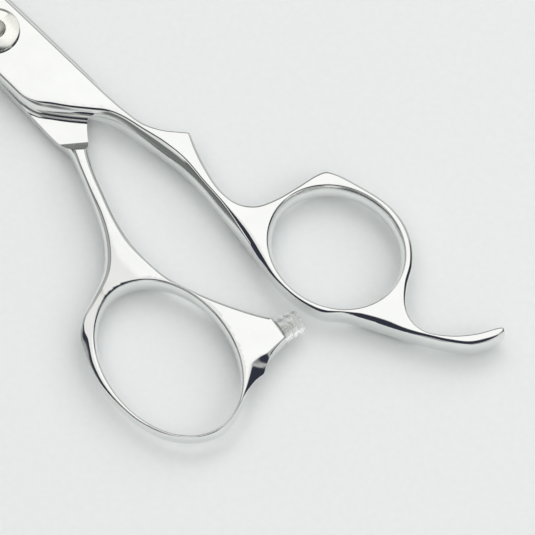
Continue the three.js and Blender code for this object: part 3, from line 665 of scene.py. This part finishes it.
def on_lug(x, y, z):
    """Stands a shape made along Z at the origin on the middle of the lug face."""
    ax, ay = LUG_A
    bx, by = LUG_B
    length = math.hypot(bx - ax, by - ay)
    out_x, out_y = (ay - by) / length, (bx - ax) / length
    along_x = (ax + bx) / 2 + out_x * z + out_y * x
    along_y = (ay + by) / 2 + out_y * z - out_x * x
    return along_x, along_y, BUMPER["z"] + y


def arc(x, z, radius, start, end, steps=8):
    """Points of an arc round (x, z), with its angles in degrees."""
    angles = [math.radians(mix(start, end, k / steps)) for k in range(steps + 1)]
    return [(x + radius * math.cos(a), z + radius * math.sin(a)) for a in angles]


def bumper_fine():
    """Clear push-on cushion with a rounded end and two shallow grip grooves."""
    r, length, edge, foot = (BUMPER[key] for key in ("r", "length", "edge", "foot"))
    bore, depth, end, mouth = (BUMPER[key] for key in ("bore", "bore_depth", "bore_edge", "mouth"))
    profile = [(0, depth), *arc(bore - end, depth - end, end, 90, 0, 5)]
    profile += [(bore, mouth), (bore + mouth, 0), *arc(r - foot, foot, foot, -90, 0, 5)]
    for z in BUMPER_GROOVE["places"]:
        for angle in range(-90, 91, 15):
            sunk = BUMPER_GROOVE["depth"] * math.cos(math.radians(angle)) ** 2
            profile.append((r - sunk, z + BUMPER_GROOVE["half"] * angle / 90))
    profile += arc(r - edge, length - edge, edge, 0, 90) + [(0, length)]
    profile = [(x, z + SEAT_GAP) for x, z in profile]
    return turned("bumper_fine", profile, 128, 40.0, on_lug)


def stem_fine():
    """Threaded stem that the bumper is pushed on."""
    r, thread, pitch = STEM["r"], STEM["thread"], STEM["pitch"]
    sides, steps = 48, 8
    count = round((STEM["hidden"] + STEM["shown"]) / pitch * steps)
    builder = Builder()
    loops = []
    for k in range(count + 1):
        ring = []
        for i in range(sides):
            angle = -2 * math.pi * i / sides
            lead = k / steps + i / sides
            radius = r - thread * (1 + math.cos(2 * math.pi * lead)) / 2
            ring.append(on_lug(radius * math.cos(angle), radius * math.sin(angle),
                               -STEM["hidden"] + k * pitch / steps))
        loops.append(builder.loop(ring))
    for low, high in zip(loops, loops[1:]):
        builder.skin(low, high)
    for loop, up in ((loops[0], False), (loops[-1], True)):
        middle = builder.loop([tuple(np.mean([builder.vertices[i] for i in loop], axis=0))])[0]
        for i, a in enumerate(loop):
            b = loop[(i + 1) % sides]
            builder.faces.append((b, a, middle) if up else (a, b, middle))
    return builder.mesh("bumper_stem_fine", 50.0)


def screw_fine():
    """Pivot screw: broad thin head below, keyed neck, shank, and a domed keyed tip."""
    head, neck, tip, crown = SCREW_HEAD, SCREW_NECK, SCREW_TIP, SCREW_CROWN
    profile = [*SCREW_DIMPLE, (head["foot"], 0)]
    profile += arc(head["r"] - head["edge"], head["top"] - head["edge"], head["edge"], -30, 90, 6)
    profile += [(neck["r"], head["top"]), (neck["r"], neck["top"]), (SCREW_SHANK_R, neck["top"]),
                (SCREW_SHANK_R, tip["from"] - 0.1), (tip["r"], tip["from"])]
    centre = tip["r"] - tip["edge"], tip["top"] - crown["drop"]
    profile += arc(*centre, tip["edge"], 0, crown["edge_end"], 6)
    start, base = profile[-1]
    for k in range(1, crown["steps"] + 1):
        t = k / crown["steps"]
        profile.append((mix(start, crown["mark"], t), mix(base, tip["top"], 2 * t - t * t)))
    profile += [(crown["mark_edge"], tip["top"] - 0.03), (0, tip["top"] - 0.08)]
    mesh = turned("pivot_screw_fine", profile, 128, 28.0)
    mesh = flatten(mesh, neck["r"], neck["flats"], head["top"], neck["top"] + 0.01)
    return flatten(mesh, tip["r"], tip["flats"], tip["from"] - 0.01, tip["flats_to"])


def pocket_tool(start):
    """Shallow sector with rounded corners, cut into the face of the dial."""
    inner, outer, sweep, floor_z, corner = (
        DIAL_POCKET[key] for key in ("inner", "outer", "sweep", "floor", "corner"))
    outline = []
    for radius, side, steps in ((outer, 1, 18), (inner, -1, 12)):
        trim = math.degrees(corner / (radius - side * corner))
        begin, end = start + trim, start + sweep - trim
        if side < 0:
            begin, end = end, begin
        centre = radius - side * corner
        for at, turn_from in ((begin, 0), (end, 1)):
            x, y = centre * math.cos(math.radians(at)), centre * math.sin(math.radians(at))
            first = at - 90 if side > 0 else at + 90
            first += 90 * turn_from
            bends = [math.radians(mix(first, first + 90, k / 5)) for k in range(6)]
            outline += [(x + corner * math.cos(a), y + corner * math.sin(a)) for a in bends]
            if not turn_from:
                between = [math.radians(mix(begin, end, k / steps)) for k in range(1, steps)]
                outline += [(radius * math.cos(a), radius * math.sin(a)) for a in between]
    outline.reverse()
    middle = np.mean(outline, axis=0)
    builder = Builder()
    loops = []
    for z, size in [*((floor_z + rise, size) for rise, size in POCKET_WALL), (THROUGH[1], 1.0)]:
        loops.append(builder.loop([(*(middle + (np.array(p) - middle) * size), z) for p in outline]))
    for low, high in zip(loops, loops[1:]):
        builder.skin(low, high)
    builder.faces += [tuple(loops[0]), tuple(reversed(loops[-1]))]
    return builder.mesh("pocket", 40.0)


def dial_fine():
    """Tension dial: a cup over the springs with a domed face, flat round the screw, and two pockets."""
    r, foot, base, waist, shoulder = (DIAL[key] for key in ("r", "foot", "base", "waist", "shoulder"))
    edge, foot_edge, lip = (DIAL[key] for key in ("edge", "foot_edge", "lip"))
    top, hub, steps = (DIAL_DOME[key] for key in ("top", "hub", "steps"))
    bore, rim = SCREW_TIP["r"] + FIT, r - edge
    profile = [(bore, DIAL_CUP["top"]), (DIAL_CUP["r"], DIAL_CUP["top"]), (DIAL_CUP["r"], base)]
    profile += arc(foot - foot_edge, base + foot_edge, foot_edge, -90, -30, 3) + [(r, waist)]
    profile += arc(rim, shoulder - edge, edge, 0, 82, 7)
    for k in range(1, steps + 1):
        radius = mix(rim, hub, k / steps)
        fall = (radius ** 2 - hub ** 2) / (rim ** 2 - hub ** 2)
        profile.append((radius, mix(top, shoulder, fall)))
    profile += arc(bore + lip, top - lip, lip, 90, 180, 4)
    mesh = turned("tension_dial_fine", profile, 192, 26.0)
    for i in range(DIAL_POCKET["count"]):
        mesh = carve(mesh, pocket_tool(DIAL_POCKET["start"] + 360 * i / DIAL_POCKET["count"]), 26.0)
    return mesh


# ---------------------------------------------------------------- materials

# Noise scales, in cells to the metre.
WAVE_SCALE = 230.0                   # waviness left by hand polishing
POLISH_SCALE = 400.0                 # finer unevenness of the polish
MOTTLE_SCALE = 2600.0
RING_SCALE = 9000.0                  # rings left by the lathe
FLOW_SCALE = 700.0                   # cloudiness of a moulded polymer
PAPER_SCALE = 900.0
POLYMER_BUMP = 0.00001
POLYMER_IOR = 1.46


def node_tree(owner):
    owner.use_nodes = True
    owner.node_tree.nodes.clear()
    return owner.node_tree


def add(tree, kind, inputs=None, **settings):
    """A node with its settings, and inputs given as values or as sockets to link."""
    node = tree.nodes.new(kind)
    for key, value in settings.items():
        setattr(node, key, value)
    for key, value in (inputs or {}).items():
        if isinstance(value, bpy.types.NodeSocket):
            tree.links.new(value, node.inputs[key])
        else:
            node.inputs[key].default_value = value
    return node


def stops(ramp_node, *pairs):
    elements = ramp_node.color_ramp.elements
    while len(elements) < len(pairs):
        elements.new(0.5)
    for element, (position, value) in zip(elements, pairs):
        element.position = position
        color = value if isinstance(value, tuple) else (value, value, value)
        element.color = (*color, 1)


def polished_steel(name, color, rough, wave):
    """Hand polished steel: faint waviness, and a polish that is hazier in places."""
    material = bpy.data.materials.new(name)
    tree = node_tree(material)
    place = add(tree, "ShaderNodeTexCoord").outputs["Object"]
    fine = add(tree, "ShaderNodeTexNoise", {"Vector": place, "Scale": POLISH_SCALE, "Detail": 4.0})
    broad = add(tree, "ShaderNodeTexNoise", {"Vector": place, "Scale": WAVE_SCALE, "Detail": 2.0})
    haze = add(tree, "ShaderNodeMapRange", {
        "Value": fine.outputs[0], "From Min": 0.35, "From Max": 0.7, "To Min": rough * 0.75,
        "To Max": rough * 1.35,
    })
    tint = add(tree, "ShaderNodeValToRGB", {"Fac": broad.outputs[0]})
    darker = tuple(0.965 * c for c in color)
    stops(tint, (0.3, darker), (0.7, color))
    ripple = add(tree, "ShaderNodeBump", {
        "Height": broad.outputs[0], "Strength": 1.0, "Distance": wave,
    })
    scratch = add(tree, "ShaderNodeBump", {
        "Height": fine.outputs[0], "Strength": 1.0, "Distance": wave * 0.02,
        "Normal": ripple.outputs[0],
    })
    shader = add(tree, "ShaderNodeBsdfPrincipled", {
        "Base Color": tint.outputs[0], "Roughness": haze.outputs[0], "Normal": scratch.outputs[0],
        "Metallic": 1.0,
    })
    add(tree, "ShaderNodeOutputMaterial", {"Surface": shader.outputs[0]})
    return material


def turned_steel(name, color, rough, groove):
    """Steel with the fine rings that a lathe leaves round the pivot axis, over soft mottling."""
    material = bpy.data.materials.new(name)
    tree = node_tree(material)
    place = add(tree, "ShaderNodeTexCoord").outputs["Object"]
    flat = add(tree, "ShaderNodeVectorMath", {0: place, 1: (1, 1, 0)}, operation="MULTIPLY")
    radius = add(tree, "ShaderNodeVectorMath", {0: flat.outputs[0]}, operation="LENGTH")
    spread = add(tree, "ShaderNodeCombineXYZ", {"X": radius.outputs["Value"]})
    rings = add(tree, "ShaderNodeTexNoise", {
        "Vector": spread.outputs[0], "Scale": RING_SCALE, "Detail": 3.0,
    })
    mottle = add(tree, "ShaderNodeTexNoise", {"Vector": place, "Scale": MOTTLE_SCALE, "Detail": 3.0})
    tint = add(tree, "ShaderNodeValToRGB", {"Fac": mottle.outputs[0]})
    stops(tint, (0.3, tuple(0.93 * c for c in color)), (0.7, color))
    haze = add(tree, "ShaderNodeMapRange", {
        "Value": rings.outputs[0], "From Min": 0.3, "From Max": 0.7, "To Min": rough * 0.7,
        "To Max": rough * 1.3,
    })
    bump = add(tree, "ShaderNodeBump", {
        "Height": rings.outputs[0], "Strength": 1.0, "Distance": groove,
    })
    shader = add(tree, "ShaderNodeBsdfPrincipled", {
        "Base Color": tint.outputs[0], "Roughness": haze.outputs[0], "Normal": bump.outputs[0],
        "Metallic": 1.0,
    })
    add(tree, "ShaderNodeOutputMaterial", {"Surface": shader.outputs[0]})
    return material


def moulded(name, color, rough, transmission=0.0, cloud=0.06):
    """Moulded polymer with a faint cloudiness in it and a slightly uneven gloss."""
    material = bpy.data.materials.new(name)
    tree = node_tree(material)
    place = add(tree, "ShaderNodeTexCoord").outputs["Object"]
    flow = add(tree, "ShaderNodeTexNoise", {"Vector": place, "Scale": FLOW_SCALE, "Detail": 3.0})
    tint = add(tree, "ShaderNodeValToRGB", {"Fac": flow.outputs[0]})
    stops(tint, (0.3, tuple((1 - cloud) * c for c in color)), (0.7, color))
    haze = add(tree, "ShaderNodeMapRange", {
        "Value": flow.outputs[0], "From Min": 0.3, "From Max": 0.7, "To Min": rough * 0.8,
        "To Max": rough * 1.25,
    })
    bump = add(tree, "ShaderNodeBump", {
        "Height": flow.outputs[0], "Strength": 1.0, "Distance": POLYMER_BUMP,
    })
    shader = add(tree, "ShaderNodeBsdfPrincipled", {
        "Base Color": tint.outputs[0], "Roughness": haze.outputs[0], "Normal": bump.outputs[0],
        "IOR": POLYMER_IOR, "Transmission Weight": transmission,
    })
    add(tree, "ShaderNodeOutputMaterial", {"Surface": shader.outputs[0]})
    return material


STEEL = (0.86, 0.868, 0.86)
MIRROR = polished_steel("mirror_steel", STEEL, 0.06, 0.00002)
DIAL_STEEL = turned_steel("dial_steel", (0.91, 0.91, 0.87), 0.1, 0.0000004)
SCREW_STEEL = turned_steel("screw_steel", (0.88, 0.87, 0.78), 0.36, 0.000001)
SPRING_STEEL = turned_steel("spring_steel", (0.66, 0.67, 0.68), 0.3, 0.0000012)
NYLON = moulded("nylon", (0.92, 0.9, 0.86), 0.5)
CLEAR = moulded("clear_polymer", (0.95, 0.96, 0.94), 0.06, 0.8, 0.03)
STEM_POLYMER = moulded("stem_polymer", (0.93, 0.93, 0.87), 0.2, 0.2)

# ---------------------------------------------------------------- pieces

piece("finger_shear_fine", finger_half(), MIRROR, "finger_half", "mirror_steel", "finger_shear")
piece("thumb_shear_fine", thumb_half(), MIRROR, "thumb_half", "mirror_steel", "thumb_shear")
piece("pivot_screw_fine", screw_fine(), SCREW_STEEL, "thumb_half", "screw_steel", "pivot_screw")
piece("bumper_fine", bumper_fine(), CLEAR, "thumb_half", "clear_polymer", "bumper")
piece("bumper_stem_fine", stem_fine(), STEM_POLYMER, "thumb_half", "stem_polymer", "bumper_stem")
piece("tension_dial_fine", dial_fine(), DIAL_STEEL, "dial", "dial_steel", "tension_dial")
for node in ("pivot_bush", "friction_washer", "glide_washer"):
    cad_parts[node].material_slots[0].material = NYLON
for node in ("disc_spring", "index_plate", "click_spring"):
    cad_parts[node].material_slots[0].material = SPRING_STEEL

# ---------------------------------------------------------------- camera, floor and light

TARGET = Vector((61.85, 4.155, 4.0)) * MM
EYE = Vector((200.94, -125.55, 411.84)) * MM
LENS = 189.3                         # with a sensor of 36 mm
SENSOR = 36.0
FLOOR_HALF = 3000.0
FLOOR_Z = -0.02
PAPER = ((0.865, 0.885, 0.88), (0.885, 0.905, 0.90))
BACKDROP = (0.79, 0.815, 0.815)      # what the camera sees past the floor
FILL = {"place": (0.2, 0.35, 1.1), "size": 2.4, "power": 19.0}


def camera():
    data = bpy.data.cameras.new("camera")
    data.lens = LENS
    data.sensor_width = SENSOR
    data.clip_start = 0.01
    eye = bpy.data.objects.new("camera", data)
    bpy.context.scene.collection.objects.link(eye)
    eye.location = EYE
    eye.rotation_mode = "QUATERNION"
    eye.rotation_quaternion = (TARGET - EYE).to_track_quat("-Z", "Y")
    bpy.context.scene.camera = eye


def floor():
    builder = Builder()
    signs = ((-1, -1), (1, -1), (1, 1), (-1, 1))
    corners = builder.loop([(FLOOR_HALF * x, FLOOR_HALF * y, FLOOR_Z) for x, y in signs])
    builder.faces.append(tuple(corners))
    ground = bpy.data.objects.new("floor", builder.mesh("floor"))
    bpy.context.scene.collection.objects.link(ground)
    material = bpy.data.materials.new("floor_paper")
    tree = node_tree(material)
    place = add(tree, "ShaderNodeTexCoord").outputs["Object"]
    grain = add(tree, "ShaderNodeTexNoise", {"Vector": place, "Scale": PAPER_SCALE, "Detail": 3.0})
    tint = add(tree, "ShaderNodeValToRGB", {"Fac": grain.outputs[0]})
    stops(tint, (0.3, PAPER[0]), (0.7, PAPER[1]))
    shader = add(tree, "ShaderNodeBsdfPrincipled", {"Base Color": tint.outputs[0], "Roughness": 0.8})
    add(tree, "ShaderNodeOutputMaterial", {"Surface": shader.outputs[0]})
    ground.data.materials.append(material)


# The light tent as seen from below in plan, with +X to the right and +Y up: each patch is a box with
# rounded corners, given by its centre, half sizes and turn in degrees in the unit circle of the
# horizon, with the softness of its edge and its colour. Later patches lie over earlier ones.
TENT = (0.42, 0.43, 0.42)
PATCHES = [
    ((-0.80, 0.20), (0.32, 0.20), 0, 0.25, (0.68, 0.69, 0.67)),       # pale left wall
    ((0.80, 0.12), (0.30, 0.22), 0, 0.25, (0.72, 0.73, 0.71)),        # pale right wall
    ((0.52, -0.74), (0.26, 0.22), 40, 0.25, (0.80, 0.81, 0.80)),      # reflector beside the camera
    ((-0.50, 0.66), (0.60, 0.16), 30, 0.2, (0.24, 0.25, 0.24)),       # gap behind the overhead box
    ((-0.31, 0.85), (0.42, 0.11), 0, 0.2, (0.60, 0.61, 0.60)),        # far wall near the table
    ((0.32, 0.60), (0.34, 0.29), -12, 0.10, (0.035, 0.038, 0.055)),   # dark far corner
    ((0.22, 0.22), (0.30, 0.085), 0, 0.2, (0.50, 0.51, 0.50)),        # roof beside the overhead box
    ((0.0, -0.05), (0.56, 0.30), 0, 0.08, (0.035, 0.038, 0.055)),     # dark surround of the camera
    ((0.16, -0.26), (0.46, 0.20), 0, 0.10, (0.035, 0.038, 0.055)),    # camera
    ((-0.337, 0.328), (0.27, 0.20), 47, 0.10, (0.93, 0.93, 0.91)),    # overhead box
    ((-0.36, 0.335), (0.16, 0.085), 0, 0.35, (1.12, 1.12, 1.10)),     # its bright middle
    ((-0.13, -0.50), (0.20, 0.14), 0, 0.12, (0.80, 0.80, 0.78)),      # front box
    ((-0.36, -0.41), (0.14, 0.055), 0, 0.12, (1.1, 1.1, 1.08)),       # its far flap
    ((-0.50, -0.70), (0.15, 0.24), 0, 0.15, (0.13, 0.135, 0.13)),     # edge of the tent's opening
    ((-0.20, -0.84), (0.70, 0.14), 0, 0.2, (0.18, 0.19, 0.185)),      # table edge in front
]


def studio():
    """A pale light tent: an overhead box, a front box, and the dark gap that holds the camera."""
    world = bpy.data.worlds.new("studio")
    bpy.context.scene.world = world
    tree = node_tree(world)
    direction = add(tree, "ShaderNodeTexCoord").outputs["Generated"]
    flat = add(tree, "ShaderNodeVectorMath", {0: direction, 1: (1, 1, 0)}, operation="MULTIPLY")
    plan = flat.outputs[0]
    color = add(tree, "ShaderNodeRGB").outputs[0]
    color.default_value = (*TENT, 1)
    for (x, y), (wide, deep), turn, soft, shade in PATCHES:
        local = add(tree, "ShaderNodeMapping", {
            "Vector": plan, "Location": (x, y, 0), "Rotation": (0, 0, math.radians(turn)),
            "Scale": (wide, deep, 1),
        }, vector_type="TEXTURE").outputs[0]
        square = add(tree, "ShaderNodeVectorMath", {0: local, 1: local}, operation="MULTIPLY")
        squared = square.outputs[0]
        far = add(tree, "ShaderNodeVectorMath", {0: squared, 1: squared}, operation="DOT_PRODUCT")
        mask = add(tree, "ShaderNodeMapRange", {
            "Value": far.outputs["Value"], "From Min": (1 - soft) ** 4, "From Max": (1 + soft) ** 4,
            "To Min": 1.0, "To Max": 0.0,
        }, interpolation_type="SMOOTHSTEP").outputs[0]
        over = add(tree, "ShaderNodeMix", {0: mask, 6: color, 7: (*shade, 1)}, data_type="RGBA")
        color = over.outputs[2]
    shine = add(tree, "ShaderNodeBackground", {"Color": color, "Strength": 1.0})
    plain = add(tree, "ShaderNodeBackground", {"Color": (*BACKDROP, 1), "Strength": 1.0})
    seen = add(tree, "ShaderNodeLightPath").outputs["Is Camera Ray"]
    both = add(tree, "ShaderNodeMixShader", {0: seen, 1: shine.outputs[0], 2: plain.outputs[0]})
    add(tree, "ShaderNodeOutputWorld", {"Surface": both.outputs[0]})


def fill_light(name, place, size, power):
    """A wide soft lamp over the shears, which only lights and isn't mirrored in the steel."""
    data = bpy.data.lights.new(name, "AREA")
    data.size = size
    data.energy = power
    lamp = bpy.data.objects.new(name, data)
    bpy.context.scene.collection.objects.link(lamp)
    lamp.location = place
    lamp.rotation_mode = "QUATERNION"
    lamp.rotation_quaternion = (TARGET - lamp.location).to_track_quat("-Z", "Y")
    lamp.visible_glossy = False


camera()
floor()
studio()
fill_light("overhead_fill", Vector(FILL["place"]), FILL["size"], FILL["power"])
bpy.context.scene.view_settings.view_transform = "Standard"
